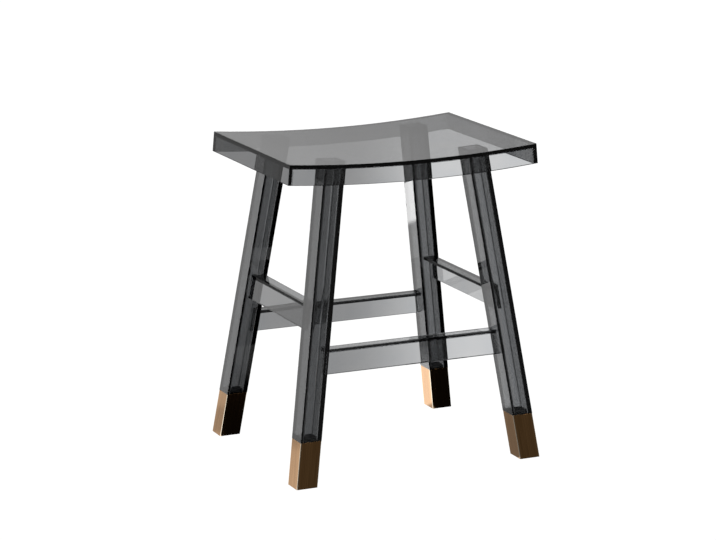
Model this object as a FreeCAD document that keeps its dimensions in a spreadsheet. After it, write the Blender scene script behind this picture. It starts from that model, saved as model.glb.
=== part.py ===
import FreeCAD, Part
import math
import os
import Sketcher
from FreeCAD import Vector

# Saddle stool in smoke acrylic: a curved seat box of glued sheets on four splayed square tubes, which are
# tied by four stretchers of L section and stand in bronze foot caps. The origin is on the floor, under the
# middle of the seat. X runs along the seat, the front faces -Y and Z is up. Sizes are in millimetres.

doc = FreeCAD.newDocument("saddle_stool")

SIZES = {
    # Seat box: its height is at the top corners, its dip in the middle of the length.
    "seat_height": 610.0,
    "seat_length": 505.0,
    "seat_depth": 374.0,
    "seat_dip": 11.6,
    "seat_box": 38.0,
    "seat_sheet": 8.0,
    # Legs: half the spacing of their axes, at the floor and at the seat's height.
    "foot_x": 233.7,
    "foot_y": 192.3,
    "head_x": 144.6,
    "head_y": 128.3,
    "leg_side": 42.0,
    "leg_wall": 6.0,
    "bore_round": 4.0,
    # Foot caps, the plugs that hold them to the legs, and the pads that close them below.
    "cap_height": 87.0,
    "cap_wall": 3.0,
    "cap_lid": 5.0,
    "cap_round": 0.8,
    "plug_depth": 30.0,
    "plug_rise": 6.0,
    "plug_play": 0.2,
    "pad_thick": 10.0,
    "pad_proud": 1.0,
    "pad_round": 1.5,
    # Stretchers: the levels are those of the upper face of the foot strips.
    "rail_width": 24.0,
    "rail_strip": 6.0,
    "rail_sheet": 8.0,
    "rail_drop": 46.0,
    "long_rail_level": 253.0,
    "side_rail_level": 331.0,
}

# What follows from those sizes. The seat's arc has its centre far above the stool.
DERIVED = {
    "top_radius": "=(seat_length ^ 2 / 4 + seat_dip ^ 2) / (2 * seat_dip)",
    "under_radius": "=top_radius + seat_sheet",
    "apron_radius": "=top_radius + seat_box",
    "end_angle": "=asin(seat_length / 2 / top_radius) / 1deg",
    "splay_x": "=(foot_x - head_x) / seat_height",
    "splay_y": "=(foot_y - head_y) / seat_height",
    "joint_x": "=foot_x - splay_x * cap_height",
    "joint_y": "=foot_y - splay_y * cap_height",
    "bore_side": "=leg_side - 2 * leg_wall",
    "plug_side": "=bore_side - 2 * plug_play",
    "plug_round": "=bore_round - plug_play",
    "cap_length": "=cap_height - pad_proud",
    "cap_bore": "=leg_side - 2 * cap_wall",
}


def make_sheet():
    """Spreadsheet with one aliased cell for each driving and each derived size."""
    sheet = doc.addObject("Spreadsheet::Sheet", "Sizes")
    rows = [(alias, str(size)) for alias, size in SIZES.items()]
    rows += list(DERIVED.items())
    for row, (alias, content) in enumerate(rows, start=1):
        sheet.set(f"A{row}", alias)
        sheet.set(f"B{row}", content)
        sheet.setAlias(f"B{row}", alias)
    doc.recompute()
    return sheet


sizes = make_sheet()


def cell(formula):
    """Expression for an object, from a formula with the sheet's aliases in square brackets."""
    return formula.replace("[", "Sizes.").replace("]", "")


def number(formula):
    """Present value of such a formula."""
    value = sizes.evalExpression(cell(formula))
    return float(getattr(value, "Value", value))


def new_body(label, x="0", y="0", z="0"):
    """Body whose place is bound to a formula along each axis."""
    body = doc.addObject("PartDesign::Body", label)
    body.Label = label
    for axis, formula in zip("xyz", (x, y, z)):
        body.setExpression(f"Placement.Base.{axis}", cell(formula))
    return body


def new_sketch(body, name, role, lift="0"):
    """Sketch on one of the body's own origin planes, lifted along its normal."""
    sketch = body.newObject("Sketcher::SketchObject", name)
    plane = next(item for item in body.Origin.OriginFeatures if item.Role == role)
    sketch.AttachmentSupport = (plane, "")
    sketch.MapMode = "FlatFace"
    sketch.setExpression("AttachmentOffset.Base.z", cell(lift))
    return sketch


def bind(sketch, kind, places, formula):
    """Dimension of a sketch, held by a formula."""
    index = sketch.addConstraint(Sketcher.Constraint(kind, *places, number(formula)))
    sketch.setExpression(f"Constraints[{index}]", cell(formula))


def bind_point(sketch, kind, line, end, formula):
    """Signed distance of a point from the sketch's origin: DistanceX or DistanceY."""
    if number(formula) < 0:
        bind(sketch, kind, (line, end, -1, 1), f"-({formula})")
    else:
        bind(sketch, kind, (-1, 1, line, end), formula)


def add_outline(sketch, corners):
    """Closed outline of straight lines, each corner bound to a formula for x and one for y."""
    points = [Vector(number(x), number(y), 0) for x, y in corners]
    count = len(points)
    first = sketch.GeometryCount
    for k in range(count):
        sketch.addGeometry(Part.LineSegment(points[k], points[(k + 1) % count]), False)
    for k, (x, y) in enumerate(corners):
        sketch.addConstraint(Sketcher.Constraint("Coincident", first + (k - 1) % count, 2, first + k, 1))
        bind_point(sketch, "DistanceX", first + k, 1, x)
        bind_point(sketch, "DistanceY", first + k, 1, y)


def add_rectangle(sketch, width, depth, x="0", y="0"):
    """Rectangle about a centre."""
    low_x, high_x = f"{x} - {width} / 2", f"{x} + {width} / 2"
    low_y, high_y = f"{y} - {depth} / 2", f"{y} + {depth} / 2"
    add_outline(sketch, [(low_x, low_y), (high_x, low_y), (high_x, high_y), (low_x, high_y)])


def add_rounded_square(sketch, side, radius):
    """Square about the origin with rounded corners: lines and arcs that run into each other."""
    half, small = number(side) / 2, number(radius)
    inner = half - small
    lines, arcs = [], []
    for turn in range(4):
        angle = math.radians(90 * turn)
        along = Vector(math.cos(angle), math.sin(angle), 0)
        out = Vector(math.sin(angle), -math.cos(angle), 0)
        edge = Part.LineSegment(out * half - along * inner, out * half + along * inner)
        lines.append(sketch.addGeometry(edge, False))
        circle = Part.Circle((out + along) * inner, Vector(0, 0, 1), small)
        corner = Part.ArcOfCircle(circle, angle - math.pi / 2, angle)
        arcs.append(sketch.addGeometry(corner, False))
    for turn in range(4):
        following = lines[(turn + 1) % 4]
        sketch.addConstraint(Sketcher.Constraint("Tangent", lines[turn], 2, arcs[turn], 1))
        sketch.addConstraint(Sketcher.Constraint("Tangent", arcs[turn], 2, following, 1))
        kind = ("Horizontal", "Vertical")[turn % 2]
        sketch.addConstraint(Sketcher.Constraint(kind, lines[turn]))
    for arc in arcs[1:]:
        sketch.addConstraint(Sketcher.Constraint("Equal", arcs[0], arc))
    bind(sketch, "Radius", (arcs[0],), radius)
    bind_point(sketch, "DistanceY", lines[0], 1, f"-{side} / 2")
    bind_point(sketch, "DistanceX", lines[1], 1, f"{side} / 2")
    bind_point(sketch, "DistanceY", lines[2], 1, f"{side} / 2")
    bind_point(sketch, "DistanceX", lines[3], 1, f"-{side} / 2")


def extrude(body, kind, name, sketch, length, along=None, back=False, both=False, other=None):
    """Pad or pocket of a sketch, square to it or along a leaning direction, with an other length behind it."""
    feature = body.newObject(f"PartDesign::{kind}", name)
    feature.Profile = sketch
    feature.setExpression("Length", cell(length))
    feature.Reversed = back
    if both:
        feature.SideType = "Symmetric"
    if other:
        feature.SideType = "Two sides"
        feature.setExpression("Length2", cell(other))
    if along:
        feature.UseCustomVector = True
        feature.AlongSketchNormal = True
        for axis, formula in zip("xyz", along):
            feature.setExpression(f"Direction.{axis}", cell(formula))
    return feature


# Seat box. Every sheet is a slice of one ring about the arc's centre, so the pieces meet face to face: the
# seat sheet lies over all, the end aprons run the full depth and the long aprons stand between them.

def end_x(radius, inset):
    """Where the end plane, moved inwards by an inset, meets an arc of the given radius."""
    return f"(sqrt({radius} ^ 2 - ({inset}) ^ 2) * sin([end_angle]) - ({inset}) * cos([end_angle]))"


def seat_panel(label, upper, lower, left, right, depth, y="0"):
    """Slice between two radii and two ends, each end a sign and an inset from the end plane."""
    body = new_body(label, y=y, z="[seat_height] - [seat_dip]")
    sketch = new_sketch(body, f"{label}_profile", "XZ_Plane")
    centre = Vector(0, number("[top_radius]"), 0)
    corners = {}
    for radius in (upper, lower):
        for name, (sign, inset) in (("left", left), ("right", right)):
            corners[radius, name] = f"{sign} * {end_x(radius, inset)}"

    def point(radius, name):
        x = number(corners[radius, name])
        return Vector(x, centre.y - math.sqrt(number(radius) ** 2 - x ** 2), 0)

    def arc(radius):
        ends = [point(radius, name) - centre for name in ("left", "right")]
        angles = [math.atan2(end.y, end.x) for end in ends]
        return Part.ArcOfCircle(Part.Circle(centre, Vector(0, 0, 1), number(radius)), *angles)

    top = sketch.addGeometry(arc(upper), False)
    side = sketch.addGeometry(Part.LineSegment(point(upper, "right"), point(lower, "right")), False)
    base = sketch.addGeometry(arc(lower), False)
    back = sketch.addGeometry(Part.LineSegment(point(lower, "left"), point(upper, "left")), False)
    for joint in ((top, 2, side, 1), (side, 2, base, 2), (base, 1, back, 1), (back, 2, top, 1), (top, 3, base, 3)):
        sketch.addConstraint(Sketcher.Constraint("Coincident", *joint))
    sketch.addConstraint(Sketcher.Constraint("PointOnObject", top, 3, -2))
    bind_point(sketch, "DistanceY", top, 3, "[top_radius]")
    bind(sketch, "Radius", (top,), upper)
    bind(sketch, "Radius", (base,), lower)
    for line, radius in ((top, upper), (base, lower)):
        bind_point(sketch, "DistanceX", line, 1, corners[radius, "left"])
        bind_point(sketch, "DistanceX", line, 2, corners[radius, "right"])
    extrude(body, "Pad", f"{label}_sheet", sketch, depth, both=True)
    return body


FLUSH, INSIDE = "0", "[seat_sheet]"
APRON = ("[under_radius]", "[apron_radius]")
apron_y = "([seat_depth] - [seat_sheet]) / 2"

pieces = [
    seat_panel("seat_top", "[top_radius]", "[under_radius]", (-1, FLUSH), (1, FLUSH), "[seat_depth]"),
    seat_panel("front_apron", *APRON, (-1, INSIDE), (1, INSIDE), "[seat_sheet]", y=f"-{apron_y}"),
    seat_panel("rear_apron", *APRON, (-1, INSIDE), (1, INSIDE), "[seat_sheet]", y=apron_y),
    seat_panel("left_apron", *APRON, (-1, FLUSH), (-1, INSIDE), "[seat_depth]"),
    seat_panel("right_apron", *APRON, (1, INSIDE), (1, FLUSH), "[seat_depth]"),
]


# Legs. Each is a square tube that leans both ways, sharp outside and rounded in the corners of its bore. Its
# foot is cut level and stands on the lid of its cap, and its head is cut to the curve of the seat's underside.

def leg_rise(side, face):
    """Direction of a leg's axis, for one unit of height: it leans in towards the seat."""
    return f"-{side} * [splay_x]", f"-{face} * [splay_y]", "1"


def leg(label, side, face):
    """Leg at one corner: side is -1 for left, face is -1 for front. Its origin is the joint with the cap."""
    x, y = f"{side} * [joint_x]", f"{face} * [joint_y]"
    rise = leg_rise(side, face)
    body = new_body(label, x, y, "[cap_height]")

    section = new_sketch(body, f"{label}_section", "XY_Plane")
    add_rectangle(section, "[leg_side]", "[leg_side]")
    add_rounded_square(section, "[bore_side]", "[bore_round]")
    extrude(body, "Pad", f"{label}_tube", section, "[seat_height] - [cap_height]", along=rise)

    trim = new_sketch(body, f"{label}_trim", "XZ_Plane")
    centre_x = f"-{side} * [joint_x]"
    centre_y = "[seat_height] - [seat_dip] + [top_radius] - [cap_height]"
    head = f"-{side} * [splay_x] * ([seat_height] - [cap_height])"
    low_x, high_x = f"{head} - 2 * [leg_side]", f"{head} + 2 * [leg_side]"
    roof = "[seat_height] - [cap_height] + [leg_side]"
    centre = Vector(number(centre_x), number(centre_y), 0)
    radius = number("[under_radius]")
    ends = []
    for formula in (low_x, high_x):
        across = number(formula) - centre.x
        ends.append(centre + Vector(across, -math.sqrt(radius ** 2 - across ** 2), 0))
    angles = [math.atan2(end.y - centre.y, end.x - centre.x) for end in ends]
    corners = [ends[1], Vector(ends[1].x, number(roof), 0), Vector(ends[0].x, number(roof), 0), ends[0]]
    arc = trim.addGeometry(Part.ArcOfCircle(Part.Circle(centre, Vector(0, 0, 1), radius), *angles), False)
    lines = [trim.addGeometry(Part.LineSegment(corners[k], corners[k + 1]), False) for k in range(3)]
    joints = ((arc, 2, lines[0], 1), (lines[0], 2, lines[1], 1), (lines[1], 2, lines[2], 1), (lines[2], 2, arc, 1))
    for joint in joints:
        trim.addConstraint(Sketcher.Constraint("Coincident", *joint))
    trim.addConstraint(Sketcher.Constraint("Vertical", lines[0]))
    trim.addConstraint(Sketcher.Constraint("Horizontal", lines[1]))
    trim.addConstraint(Sketcher.Constraint("Vertical", lines[2]))
    bind(trim, "Radius", (arc,), "[under_radius]")
    bind_point(trim, "DistanceX", arc, 3, centre_x)
    bind_point(trim, "DistanceY", arc, 3, centre_y)
    bind_point(trim, "DistanceX", arc, 1, low_x)
    bind_point(trim, "DistanceX", arc, 2, high_x)
    bind_point(trim, "DistanceY", lines[1], 1, roof)
    extrude(body, "Pocket", f"{label}_head", trim, "[seat_depth]", both=True)
    return body


def foot_cap(label, side, face):
    """Square metal foot, flush with its leg: a shell that is open below, with a lid that the plug goes through."""
    body = new_body(label, f"{side} * [joint_x]", f"{face} * [joint_y]", "[cap_height]")
    rise = leg_rise(side, face)

    section = new_sketch(body, f"{label}_section", "XY_Plane")
    add_rounded_square(section, "[leg_side]", "[cap_round]")
    extrude(body, "Pad", f"{label}_block", section, "[cap_length]", along=rise, back=True)

    mouth = new_sketch(body, f"{label}_mouth", "XY_Plane", lift="-[cap_length]")
    mouth.setExpression("AttachmentOffset.Base.x", cell(f"{side} * [splay_x] * [cap_length]"))
    mouth.setExpression("AttachmentOffset.Base.y", cell(f"{face} * [splay_y] * [cap_length]"))
    add_rounded_square(mouth, "[cap_bore]", "[pad_round]")
    extrude(body, "Pocket", f"{label}_hollow", mouth, "[cap_length] - [cap_lid]", along=rise)

    socket = new_sketch(body, f"{label}_socket", "XY_Plane")
    add_rounded_square(socket, "[plug_side]", "[plug_round]")
    fall = [f"-({formula})" for formula in rise]
    extrude(body, "Pocket", f"{label}_lid_hole", socket, "2 * [cap_lid]", along=fall)
    return body


def foot_plug(label, side, face):
    """Dark plug, held in the cap's lid, that reaches a little way up the bore of the leg."""
    body = new_body(label, f"{side} * [joint_x]", f"{face} * [joint_y]", "[cap_height]")
    section = new_sketch(body, f"{label}_section", "XY_Plane")
    add_rounded_square(section, "[plug_side]", "[plug_round]")
    rise = leg_rise(side, face)
    extrude(body, "Pad", f"{label}_block", section, "[plug_rise]", along=rise, other="[plug_depth]")
    return body


def floor_pad(label, side, face):
    """Pad pressed into the mouth of the cap, which it stands a little proud of."""
    body = new_body(label, f"{side} * [foot_x]", f"{face} * [foot_y]")
    outline = new_sketch(body, f"{label}_outline", "XY_Plane")
    add_rounded_square(outline, "[cap_bore]", "[pad_round]")
    extrude(body, "Pad", f"{label}_block", outline, "[pad_thick]", along=leg_rise(side, face))
    return body


CORNERS = {"front_left": (-1, -1), "front_right": (1, -1), "rear_left": (-1, 1), "rear_right": (1, 1)}
for corner, (side, face) in CORNERS.items():
    pieces.append(leg(f"{corner}_leg", side, face))
    pieces.append(foot_plug(f"{corner}_foot_plug", side, face))
    pieces.append(foot_cap(f"{corner}_foot_cap", side, face))
    pieces.append(floor_pad(f"{corner}_floor_pad", side, face))


# Stretchers. A level strip to put a foot on lies centred between two legs, and a leaning sheet hangs from
# its outer edge, so the section is an L. Both end on the leaning inner faces of the legs.

def stretcher(name, lengthwise, sign):
    """Foot strip and face sheet of one stretcher, lengthwise along X or else along Y."""
    run, lean, level = ("x", "y", "[long_rail_level]") if lengthwise else ("y", "x", "[side_rail_level]")
    offset = f"{sign} * ([foot_{lean}] - [splay_{lean}] * ({level} - [rail_strip] / 2))"
    place = {lean: offset, "z": level}
    reach = f"([foot_{run}] - [splay_{run}] * {level} - [leg_side] / 2)"

    strip = new_body(f"{name}_rail_top", **place)
    profile = new_sketch(strip, f"{name}_strip_profile", "XZ_Plane" if lengthwise else "YZ_Plane")
    lower_reach = f"({reach} + [splay_{run}] * [rail_strip])"
    outline = [(f"-{lower_reach}", "-[rail_strip]"), (lower_reach, "-[rail_strip]"), (reach, "0"), (f"-{reach}", "0")]
    add_outline(profile, outline)
    extrude(strip, "Pad", f"{name}_strip", profile, "[rail_width]", both=True)

    sheet = new_body(f"{name}_rail_face", **place)
    edges = []
    for edge, drop in (("upper", "[rail_strip]"), ("lower", "[rail_drop]")):
        sketch = new_sketch(sheet, f"{name}_{edge}_edge", "XY_Plane", lift=f"-{drop}")
        length = f"(2 * ({reach} + [splay_{run}] * {drop}))"
        out = f"{sign} * (([rail_width] - [rail_sheet]) / 2 + [splay_{lean}] * ({drop} - [rail_strip]))"
        if lengthwise:
            add_rectangle(sketch, length, "[rail_sheet]", y=out)
        else:
            add_rectangle(sketch, "[rail_sheet]", length, x=out)
        edges.append(sketch)
    loft = sheet.newObject("PartDesign::AdditiveLoft", f"{name}_sheet")
    loft.Profile = edges[0]
    loft.Sections = [edges[1]]
    loft.Ruled = True
    return [strip, sheet]


STRETCHERS = {"front": (True, -1), "rear": (True, 1), "left": (False, -1), "right": (False, 1)}
for name, (lengthwise, sign) in STRETCHERS.items():
    pieces += stretcher(name, lengthwise, sign)


# Every object must have rebuilt, every sketch must be fully held and every piece must be one valid solid.
doc.recompute()
failed = [item.Name for item in doc.Objects if {"Invalid", "Error"} & set(item.State)]
loose = [item.Name for item in doc.findObjects("Sketcher::SketchObject") if not item.FullyConstrained]
broken = [
    piece.Label for piece in pieces
    if piece.Shape.isNull() or not piece.Shape.isValid() or len(piece.Shape.Solids) != 1
]
if failed or loose or broken:
    raise RuntimeError(f"failed {failed}, loose {loose}, broken {broken}")

os.makedirs("parts", exist_ok=True)
for piece in pieces:
    piece.Shape.exportStep(f"parts/{piece.Label}.step")
    print(f"{piece.Label}: {piece.Shape.Volume / 1000:.1f} cm3")
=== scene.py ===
import math
import bpy
import bmesh
from mathutils import Matrix, Vector

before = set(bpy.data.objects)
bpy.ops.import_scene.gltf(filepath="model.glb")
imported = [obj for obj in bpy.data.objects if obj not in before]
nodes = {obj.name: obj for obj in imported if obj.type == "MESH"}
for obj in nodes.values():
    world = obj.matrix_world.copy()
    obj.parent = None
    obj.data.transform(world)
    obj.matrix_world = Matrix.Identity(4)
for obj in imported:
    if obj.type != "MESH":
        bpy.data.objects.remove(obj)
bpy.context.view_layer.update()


# Seat box: a bent sheet over four aprons, all of cast acrylic tinted smoke grey.
# The sheets are sawn, polished on their edges and glued with solvent cement,
# which fuses the faces so that no air is left in a joint.

def linear(code):
    """Linear colour of an sRGB hex value."""
    parts = [int(code[k:k + 2], 16) / 255 for k in (1, 3, 5)]
    return [p / 12.92 if p <= 0.04045 else ((p + 0.055) / 1.055) ** 2.4 for p in parts] + [1.0]


def add_node(tree, kind, settings=(), **links):
    """Node with its settings, by property or socket name, and its input links."""
    node = tree.nodes.new(kind)
    for name, value in dict(settings).items():
        if name in node.inputs:
            node.inputs[name].default_value = value
        else:
            setattr(node, name, value)
    for name, source in links.items():
        tree.links.new(source, node.inputs[name])
    return node


def new_material(name, color, roughness):
    """Material with a plain base, and its node tree and shader for the pattern on it."""
    material = bpy.data.materials.new(name)
    material.use_nodes = True
    tree = material.node_tree
    shader = tree.nodes["Principled BSDF"]
    shader.inputs["Base Color"].default_value = linear(color)
    shader.inputs["Roughness"].default_value = roughness
    return material, tree, shader


def along(tree, place, direction):
    """Distance of a place along a direction."""
    dot = add_node(tree, "ShaderNodeVectorMath", {"operation": "DOT_PRODUCT"})
    tree.links.new(place, dot.inputs[0])
    dot.inputs[1].default_value = direction
    return dot.outputs["Value"]


def folded_place(tree):
    """Place on a piece, the same for all four corners of the stool."""
    place = add_node(tree, "ShaderNodeTexCoord").outputs["Object"]
    folded = add_node(tree, "ShaderNodeVectorMath", {"operation": "ABSOLUTE"})
    tree.links.new(place, folded.inputs[0])
    return folded.outputs[0]


def grain(tree, across, lengthwise, lean=(0.0, 0.0)):
    """Noise between 0 and 1 with its wavelengths in metres, along Z or along the lean of the legs."""
    place = folded_place(tree)
    x = along(tree, place, (1 / across, 0, lean[0] / across))
    y = along(tree, place, (0, 1 / across, lean[1] / across))
    z = along(tree, place, (0, 0, 1 / lengthwise))
    turned = add_node(tree, "ShaderNodeCombineXYZ", X=x, Y=y, Z=z).outputs[0]
    noise = add_node(tree, "ShaderNodeTexNoise", {"Scale": 1.0, "Detail": 2.0}, Vector=turned)
    return noise.outputs[0]


DARK_AT, LIGHT_AT = 0.3, 0.7


def tone(tree, shader, pattern, dark, light):
    """Base colour that follows a pattern from a dark to a light tone."""
    scale = add_node(tree, "ShaderNodeValToRGB", Fac=pattern)
    for stop, position, code in zip(scale.color_ramp.elements, (DARK_AT, LIGHT_AT), (dark, light)):
        stop.position = position
        stop.color = linear(code)
    tree.links.new(scale.outputs["Color"], shader.inputs["Base Color"])


def relief(tree, shader, pattern, depth):
    """Relief of a pattern, as deep as given in metres."""
    bump = add_node(tree, "ShaderNodeBump", {"Strength": 1.0, "Distance": depth}, Height=pattern)
    tree.links.new(bump.outputs[0], shader.inputs["Normal"])


ACRYLIC_IOR = 1.49


def smoke_acrylic(name, density, depth, across, lengthwise, lean=(0.0, 0.0)):
    """Polished acrylic: clear faces with faint waves, and a grey tint that deepens with the way through it."""
    material, tree, shader = new_material(name, "#FFFFFF", 0.0)
    shader.inputs["Transmission Weight"].default_value = 1.0
    shader.inputs["IOR"].default_value = ACRYLIC_IOR
    pattern = grain(tree, across, lengthwise, lean)
    tone(tree, shader, pattern, "#F7F9FB", "#FFFFFF")
    relief(tree, shader, pattern, depth)
    tint = add_node(tree, "ShaderNodeVolumeAbsorption", {"Color": linear("#1A2028"), "Density": density})
    tree.links.new(tint.outputs[0], tree.nodes["Material Output"].inputs["Volume"])
    return material


SHARP_ANGLE = math.radians(40)


def smooth_corners():
    """Node group that shades rounded corners smoothly and keeps sharp edges sharp."""
    group = bpy.data.node_groups.new("smooth_corners", "GeometryNodeTree")
    for way in ("INPUT", "OUTPUT"):
        group.interface.new_socket("Geometry", in_out=way, socket_type="NodeSocketGeometry")
    bend = add_node(group, "GeometryNodeInputMeshEdgeAngle").outputs["Unsigned Angle"]
    sharp = add_node(group, "FunctionNodeCompare", {"operation": "GREATER_THAN", "B": SHARP_ANGLE}, A=bend)
    piece = add_node(group, "NodeGroupInput").outputs[0]
    faces = add_node(group, "GeometryNodeSetShadeSmooth", {"domain": "FACE"}, Geometry=piece)
    edges = add_node(group, "GeometryNodeSetShadeSmooth", {"domain": "EDGE", "Shade Smooth": False},
                     Geometry=faces.outputs[0], Selection=sharp.outputs[0])
    add_node(group, "NodeGroupOutput", Geometry=edges.outputs[0])
    return group


JOINT_LAP, WELD_REACH = 0.0001, 0.00001
LARGE_FACE_WEIGHT = 100
corner_shading = smooth_corners()


def dress(name, material, lap=0.0):
    """Material on a piece with smooth corners, and the lap by which cement fuses it with its neighbours."""
    piece = nodes[name]
    piece.material_slots[0].material = material
    weld = piece.modifiers.new("weld", "WELD")
    weld.merge_threshold = WELD_REACH
    if lap:
        cement = piece.modifiers.new("cement_lap", "DISPLACE")
        cement.mid_level = 0.0
        cement.strength = lap
    piece.modifiers.new("corner_shading", "NODES").node_group = corner_shading
    weights = piece.modifiers.new("flat_faces", "WEIGHTED_NORMAL")
    weights.weight = LARGE_FACE_WEIGHT
    weights.keep_sharp = True


sheet_acrylic = smoke_acrylic(
    "smoke_acrylic_cast_sheet", density=150.0, depth=0.00002, across=0.06, lengthwise=0.06)
for name in ("seat_top", "front_apron", "rear_apron", "left_apron", "right_apron"):
    dress(name, sheet_acrylic, JOINT_LAP)


# Legs: square extruded acrylic tubes with 6 mm walls and rounded bores, splayed both ways.
# Extrusion leaves faint streaks along them. Their heads are cemented under the seat sheet.

CORNERS = ("front_left", "front_right", "rear_left", "rear_right")
LEAN = (0.14607, 0.10492)
tube_acrylic = smoke_acrylic(
    "smoke_acrylic_extruded_tube", density=204.0, depth=0.000006, across=0.004, lengthwise=0.5, lean=LEAN)
for corner in CORNERS:
    dress(f"{corner}_leg", tube_acrylic, JOINT_LAP)


# Stretchers: a level foot strip and a leaning sheet cemented under its outer edge.
# Both butt against the inner faces of the legs.

for side in ("front", "rear", "left", "right"):
    dress(f"{side}_rail_top", sheet_acrylic, JOINT_LAP)
    dress(f"{side}_rail_face", sheet_acrylic, JOINT_LAP)


# Foot plugs: moulded black nylon blocks in the lids of the caps, with a satin grain.
# Their tops show through the legs as a dark patch just above each cap.

def wear(tree, shader, pattern, smooth, rough):
    """Roughness that follows a pattern."""
    change = add_node(tree, "ShaderNodeMapRange", {"To Min": smooth, "To Max": rough}, Value=pattern)
    tree.links.new(change.outputs["Result"], shader.inputs["Roughness"])


def moulded(name, color, tones, smooth, rough, size, depth):
    """Moulding with a fine grain, of a size in metres, that shows in its tone, gloss and relief."""
    material, tree, shader = new_material(name, color, (smooth + rough) / 2)
    pattern = grain(tree, size, size)
    tone(tree, shader, pattern, *tones)
    wear(tree, shader, pattern, smooth, rough)
    relief(tree, shader, pattern, depth)
    return material


nylon = moulded("black_nylon_moulded", "#0C0C0D", ("#080809", "#121213"),
                smooth=0.45, rough=0.65, size=0.0012, depth=0.00003)
for corner in CORNERS:
    dress(f"{corner}_foot_plug", nylon)


# Foot caps: folded metal shells, brushed along their length and plated bronze gold.
# The legs stand on their lids, flush on all four sides.

FOOT, LEG_HALF = (0.2337, 0.1923), 0.021
# Painted highlight: a pale cream band on the upright edges of the caps, in place of light caught by their rounded
# corners.
EDGE_HIGHLIGHT_BAND = (LEG_HALF - 0.0018, LEG_HALF - 0.0006)
COLOR_FACTOR, COLOR_FIRST, COLOR_LAST, COLOR_RESULT = 0, 6, 7, 2


def ramp(tree, value, edge, first=0.0, last=1.0):
    """Smooth change from the first to the last level, between the two ends of an edge."""
    settings = {"interpolation_type": "SMOOTHSTEP", "To Min": first, "To Max": last}
    settings["From Min"], settings["From Max"] = edge
    return add_node(tree, "ShaderNodeMapRange", settings, Value=value).outputs["Result"]


def feed(tree, socket, value):
    """A number or a link on a socket."""
    if isinstance(value, float):
        socket.default_value = value
    else:
        tree.links.new(value, socket)


def combine(tree, operation, *values):
    """Result of a calculation on links or numbers."""
    node = add_node(tree, "ShaderNodeMath", {"operation": operation})
    for socket, value in zip(node.inputs, values):
        feed(tree, socket, value)
    return node.outputs[0]


def brushed_bronze():
    """Bronze plate over brushed steel: satin, with streaks along the brushing and a painted highlight on the
    upright edges.
    """
    material, tree, shader = new_material("bronze_plate_brushed", "#9D7850", 0.15)
    shader.inputs["Metallic"].default_value = 1.0
    pattern = grain(tree, across=0.0016, lengthwise=0.12, lean=LEAN)
    tone(tree, shader, pattern, "#8C6840", "#AE8457")
    wear(tree, shader, pattern, smooth=0.10, rough=0.20)
    relief(tree, shader, pattern, depth=0.00002)
    place = folded_place(tree)
    sides = []
    for axis in range(2):
        direction = [0, 0, LEAN[axis]]
        direction[axis] = 1
        reach = combine(tree, "SUBTRACT", along(tree, place, direction), FOOT[axis])
        sides.append(ramp(tree, combine(tree, "ABSOLUTE", reach), EDGE_HIGHLIGHT_BAND))
    # Painted highlight: the base colour turns pale cream where a place is near both sides of an upright edge.
    painted_highlight = combine(tree, "MULTIPLY", *sides)
    highlight_tone = add_node(tree, "ShaderNodeMix", {"data_type": "RGBA"})
    tree.links.new(painted_highlight, highlight_tone.inputs[COLOR_FACTOR])
    tree.links.new(shader.inputs["Base Color"].links[0].from_socket, highlight_tone.inputs[COLOR_FIRST])
    highlight_tone.inputs[COLOR_LAST].default_value = linear("#FFF0D8")
    tree.links.new(highlight_tone.outputs[COLOR_RESULT], shader.inputs["Base Color"])
    return material


bronze = brushed_bronze()
for corner in CORNERS:
    dress(f"{corner}_foot_cap", bronze)


# Floor pads: black rubber blocks pressed into the open feet of the caps, matt and a little dusty.
# They carry the stool a millimetre clear of the floor.

rubber = moulded("black_rubber_moulded", "#141414", ("#0E0E0E", "#1C1C1B"),
                 smooth=0.7, rough=0.9, size=0.0008, depth=0.00004)
for corner in CORNERS:
    dress(f"{corner}_floor_pad", rubber)


# Camera: a long lens, a little left of the front and above the seat.
# Its place and turn are those at which the stool fits the photograph.

AZIMUTH, ELEVATION, ROLL = math.radians(-24.3976), math.radians(13.2512), math.radians(-0.1091)
DISTANCE = 5.37948
AIM = Vector((0, 0, 0.305))
AIM_RIGHT, AIM_UP = -0.02962, 0.04387
FOCAL_PIXELS, FRAME_PIXELS, SENSOR_WIDTH = 2782.37, 716, 36
FARTHEST = 200

back = Vector((
    math.sin(AZIMUTH) * math.cos(ELEVATION),
    -math.cos(AZIMUTH) * math.cos(ELEVATION),
    math.sin(ELEVATION),
))
right = (-back).cross(Vector((0, 0, 1))).normalized()
up = right.cross(-back)
target = AIM + right * AIM_RIGHT + up * AIM_UP
across = right * math.cos(ROLL) + up * math.sin(ROLL)
upright = up * math.cos(ROLL) - right * math.sin(ROLL)

camera_data = bpy.data.cameras.new("camera")
camera = bpy.data.objects.new("camera", camera_data)
bpy.context.scene.collection.objects.link(camera)
camera.matrix_world = Matrix((across, upright, back)).transposed().to_4x4()
camera.location = target + back * DISTANCE
camera_data.sensor_width = SENSOR_WIDTH
camera_data.lens = FOCAL_PIXELS / FRAME_PIXELS * SENSOR_WIDTH
camera_data.clip_end = FARTHEST
bpy.context.scene.camera = camera


# Studio: a seamless white floor in a pale room, laid out for the photographed side. Through the acrylic the floor
# glows more to the right. What the stool mirrors is set apart: a lit room behind, black cloth in front, and four
# cards that show only in reflections.

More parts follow.
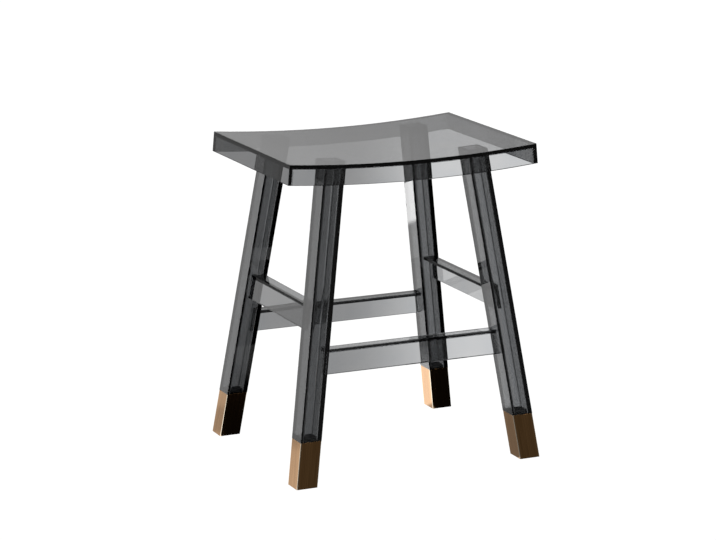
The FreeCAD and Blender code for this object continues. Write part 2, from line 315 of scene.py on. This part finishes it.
FLOOR_HALF, CARD_HEIGHT = 14.0, 0.0002
WHITE = 1.05
GLOW_LEFT, GLOW_RIGHT, GLOW_EDGE = 1.0, 2.25, (-0.09, 0.23)
ROOM, BAND, GAP, FLOOR = 0.58, 1.08, 0.2, 1.05
CLOTH, CLOTH_FOOT = 0.14, 0.006
SHADE, DEEP_SHADE, SPOT = 0.38, 0.006, 2.4
LANE_LEFT, LANE_RIGHT, LANE_FRONT = (-0.12, -0.08), (0.212, 0.222), (0.02, 0.05)
SPOT_LEFT, BEHIND_FEET = (0.06, 0.10), (0.19, 0.21)
BY_LEFT_FEET, DIM, DIM_EDGE = 1.28, 0.8, (0.15, 0.25)
LIT_FOOT, LIT, LIT_EDGE = 1.35, 5.0, (0.155, 0.171)
FLAG = 0.36
FLAG_CORNERS = [(-0.60, 0.35, 0.468), (-0.285, 0.35, 0.557), (-0.285, 0.35, 0.70), (-0.60, 0.35, 0.70)]
LIT_CORNERS = [(-0.13, 0.80, 0.08), (-0.05, 0.80, 0.08), (-0.05, 0.80, 0.255), (-0.13, 0.80, 0.255)]
LEVEL_FACTOR, LEVEL_FIRST, LEVEL_LAST = 0, 2, 3


def blend(tree, factor, first, last):
    """The first level where the factor is 0, the last where it is 1."""
    mix = add_node(tree, "ShaderNodeMix", {"data_type": "FLOAT"})
    for socket, value in ((LEVEL_FACTOR, factor), (LEVEL_FIRST, first), (LEVEL_LAST, last)):
        feed(tree, mix.inputs[socket], value)
    return mix.outputs[0]


def floor_level(tree, place):
    """Plain white for the camera, and brighter to the right as seen through the acrylic."""
    glow = ramp(tree, along(tree, place, right), GLOW_EDGE, GLOW_LEFT, GLOW_RIGHT)
    return blend(tree, add_node(tree, "ShaderNodeLightPath").outputs["Is Camera Ray"], glow, WHITE)


def near_level(tree, place):
    """The floor by the feet as the caps mirror it: shaded under the stool, bright behind the right feet."""
    x, y = along(tree, place, (1, 0, 0)), along(tree, place, (0, 1, 0))
    behind = ramp(tree, y, BEHIND_FEET)
    spot = blend(tree, behind, FLOOR, blend(tree, ramp(tree, x, SPOT_LEFT), FLOOR, SPOT))
    lane = blend(tree, ramp(tree, y, LANE_FRONT), SHADE, spot)
    aside = blend(tree, behind, DEEP_SHADE, FLOOR)
    inner = blend(tree, ramp(tree, x, LANE_LEFT), aside, lane)
    return blend(tree, ramp(tree, x, LANE_RIGHT), inner, aside)


def dim_level(tree, place):
    """Floor left of the stool: bright by the front foot, dim by the rear one."""
    return ramp(tree, along(tree, place, (0, 1, 0)), DIM_EDGE, BY_LEFT_FEET, DIM)


def lit_level(tree, place):
    """White card, lit on its upper half."""
    return ramp(tree, along(tree, place, (0, 0, 1)), LIT_EDGE, LIT_FOOT, LIT)


def stage_card(name, level, corners):
    """Flat card, clear from behind, that glows by a level: one number, or a function of the place on it."""
    material, tree, shader = new_material(name, "#000000", 1.0)
    shader.inputs["Specular IOR Level"].default_value = 0.0
    shader.inputs["Emission Color"].default_value = linear("#FFFFFF")
    if callable(level):
        place = add_node(tree, "ShaderNodeTexCoord").outputs["Object"]
        level = level(tree, place)
    feed(tree, shader.inputs["Emission Strength"], level)
    clear = add_node(tree, "ShaderNodeBsdfTransparent").outputs[0]
    from_behind = add_node(tree, "ShaderNodeNewGeometry").outputs["Backfacing"]
    facing = add_node(tree, "ShaderNodeMixShader", Fac=from_behind)
    tree.links.new(shader.outputs[0], facing.inputs[1])
    tree.links.new(clear, facing.inputs[2])
    tree.links.new(facing.outputs[0], tree.nodes["Material Output"].inputs["Surface"])
    mesh = bpy.data.meshes.new(name)
    shape = bmesh.new()
    shape.faces.new([shape.verts.new(corner) for corner in corners])
    shape.to_mesh(mesh)
    shape.free()
    mesh.materials.append(material)
    card = bpy.data.objects.new(name, mesh)
    bpy.context.scene.collection.objects.link(card)
    return card


def level_corners(low_x, low_y, high_x, high_y, z):
    """Corners of a level card."""
    return [(low_x, low_y, z), (high_x, low_y, z), (high_x, high_y, z), (low_x, high_y, z)]


floor_corners = level_corners(-FLOOR_HALF, -FLOOR_HALF, FLOOR_HALF, FLOOR_HALF, 0)
floor = stage_card("white_floor", floor_level, floor_corners)
floor.visible_glossy = False
mirrored_cards = [
    stage_card("floor_by_feet", near_level, level_corners(-0.24, -0.20, 0.40, 0.65, CARD_HEIGHT)),
    stage_card("floor_by_left_feet", dim_level, level_corners(-0.50, -0.30, -0.25, 0.50, CARD_HEIGHT)),
    stage_card("grey_flag", FLAG, FLAG_CORNERS),
    stage_card("lit_card", lit_level, LIT_CORNERS),
]
for card in mirrored_cards:
    card.visible_camera = False
    card.visible_transmission = False
    card.visible_diffuse = False
    card.visible_shadow = False

# Room: white for the camera, plain for light, and mirrored by heading and by rise, the height of a direction.
BEHIND_EDGE = (-0.3, 0.3)
GAP_FOOT, GAP_TOP, BAND_TOP = (-0.265, -0.25), (-0.215, -0.20), (-0.02, 0.05)
CLOTH_START, CLOTH_CHANGE = (-0.75, -0.50), (-0.35, -0.1)

world = bpy.data.worlds.new("studio")
bpy.context.scene.world = world
world.use_nodes = True
tree = world.node_tree
path = add_node(tree, "ShaderNodeLightPath")
view = add_node(tree, "ShaderNodeTexCoord").outputs["Generated"]
inward = Vector((-back.x, -back.y, 0)).normalized()
rise = along(tree, view, (0, 0, 1))
lower = blend(tree, ramp(tree, rise, GAP_FOOT), FLOOR, GAP)
behind = blend(tree, ramp(tree, rise, GAP_TOP), lower, ramp(tree, rise, BAND_TOP, BAND, ROOM))
cloth = ramp(tree, rise, CLOTH_CHANGE, CLOTH_FOOT, CLOTH)
front = blend(tree, ramp(tree, rise, CLOTH_START), ROOM, cloth)
mirrored = blend(tree, ramp(tree, along(tree, view, inward), BEHIND_EDGE), front, behind)
level = blend(tree, path.outputs["Is Reflection Ray"], ROOM, mirrored)
level = blend(tree, path.outputs["Is Camera Ray"], level, WHITE)
tree.nodes["Background"].inputs["Color"].default_value = linear("#FFFFFF")
tree.links.new(level, tree.nodes["Background"].inputs["Strength"])

scene = bpy.context.scene
scene.view_settings.view_transform = "Standard"
scene.cycles.max_bounces = 32
scene.cycles.transmission_bounces = 32
scene.cycles.glossy_bounces = 16
